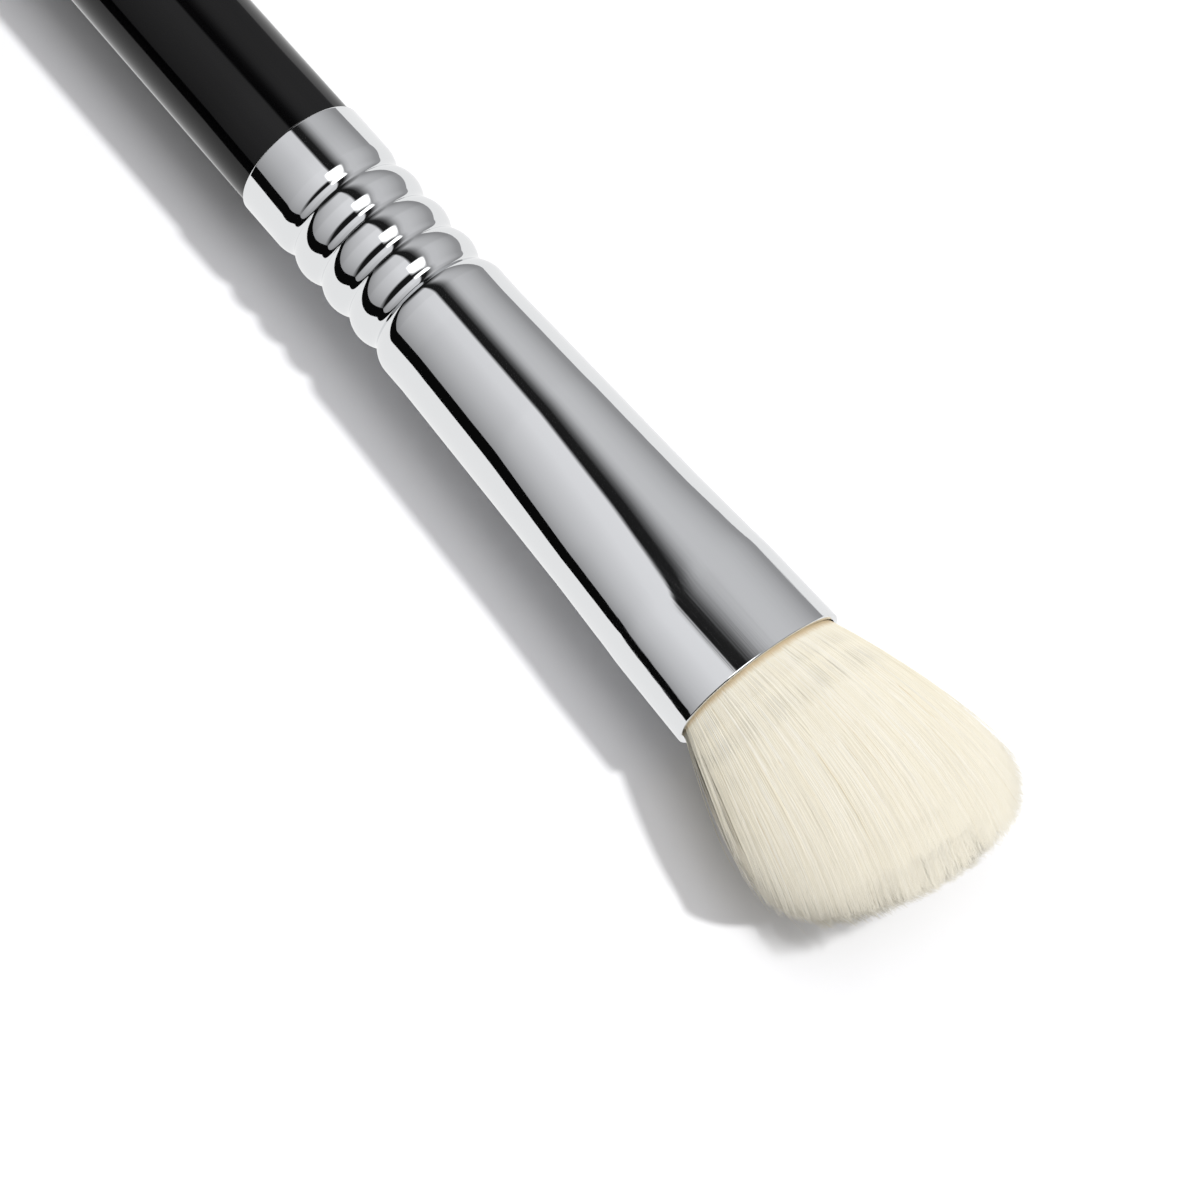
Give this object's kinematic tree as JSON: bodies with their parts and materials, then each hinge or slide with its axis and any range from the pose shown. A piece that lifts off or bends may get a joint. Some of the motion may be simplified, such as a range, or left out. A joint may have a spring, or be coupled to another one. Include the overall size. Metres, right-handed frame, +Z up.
{
  "type": "eyeshadow brush",
  "caption": "Slender eyeshadow brush with a tapered lacquered handle, a beaded metal ferrule pressed oval at its mouth, and a flared, domed tuft of soft bristles.",
  "frame": {"origin": "middle of the brush's length and width, on the surface that the brush lies on", "axes": "+X along the brush towards the bristle tip, +Y along the wide side of the flattened mouth, +Z up"},
  "size_m": [0.1776, 0.0166, 0.0097],
  "materials": {
    "lacquered_wood": "black gloss lacquer over turned hardwood",
    "plated_tube": "mirror plating on thin drawn tube",
    "cured_glue": "cured glue film",
    "cast_resin": "clear amber resin",
    "thread": "wound cotton thread",
    "bristles": "fine tapered ivory filaments"
  },
  "bodies": {
    "grip": {"handle": "lacquered_wood", "ferrule": "plated_tube", "handle_adhesive": "cured_glue", "root_plug": "cast_resin", "binding_thread": "thread"},
    "tuft": {"bristle_tuft": "bristles"}
  },
  "joints": [
    {"name": "bristle_flex", "type": "hinge", "parent": "grip", "child": "tuft", "pos_m": [0.07315, 0, 0.00485], "axis": [0, 1, 0], "range_deg": [-25, 25], "stiffness_Nm_per_rad": 0.012, "deforming": ["bristle_tuft"]}
  ]
}
